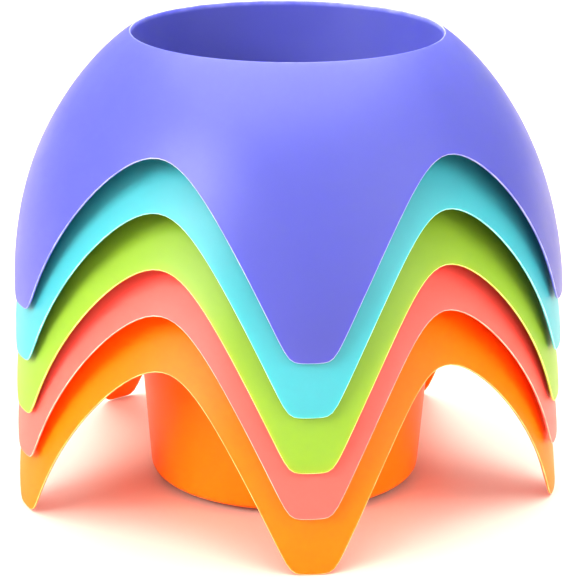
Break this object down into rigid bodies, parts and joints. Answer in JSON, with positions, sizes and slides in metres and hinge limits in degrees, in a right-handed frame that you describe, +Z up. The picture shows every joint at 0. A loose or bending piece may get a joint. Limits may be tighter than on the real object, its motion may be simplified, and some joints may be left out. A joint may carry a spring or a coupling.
{
  "type": "nesting sand drink holders",
  "caption": "Nested stack of tapered drink cups, each with a domed skirt scalloped into pointed legs that push into sand; every holder lifts straight off the one below.",
  "frame": {"origin": "on the axis of the stack, at the level of the lowest holder's leg tips", "axes": "+Z up the stack's axis; one leg of every holder points to -Y"},
  "size_m": [0.1458, 0.1407, 0.1232],
  "materials": {
    "orange_plastic": "smooth satin-gloss injection-moulded plastic, slightly translucent",
    "pink_plastic": "smooth satin-gloss injection-moulded plastic, slightly translucent",
    "green_plastic": "smooth satin-gloss injection-moulded plastic, slightly translucent",
    "turquoise_plastic": "smooth satin-gloss injection-moulded plastic, slightly translucent",
    "purple_plastic": "smooth satin-gloss injection-moulded plastic, slightly translucent"
  },
  "bodies": {
    "orange": {"holder_orange": "orange_plastic"},
    "pink": {"holder_pink": "pink_plastic"},
    "green": {"holder_green": "green_plastic"},
    "turquoise": {"holder_turquoise": "turquoise_plastic"},
    "purple": {"holder_purple": "purple_plastic"}
  },
  "joints": [
    {"name": "lift_pink", "type": "slide", "parent": "orange", "child": "pink", "axis": [0, 0, 1], "range_m": [0, 0.08]},
    {"name": "lift_green", "type": "slide", "parent": "pink", "child": "green", "axis": [0, 0, 1], "range_m": [0, 0.08]},
    {"name": "lift_turquoise", "type": "slide", "parent": "green", "child": "turquoise", "axis": [0, 0, 1], "range_m": [0, 0.08]},
    {"name": "lift_purple", "type": "slide", "parent": "turquoise", "child": "purple", "axis": [0, 0, 1], "range_m": [0, 0.08]}
  ]
}
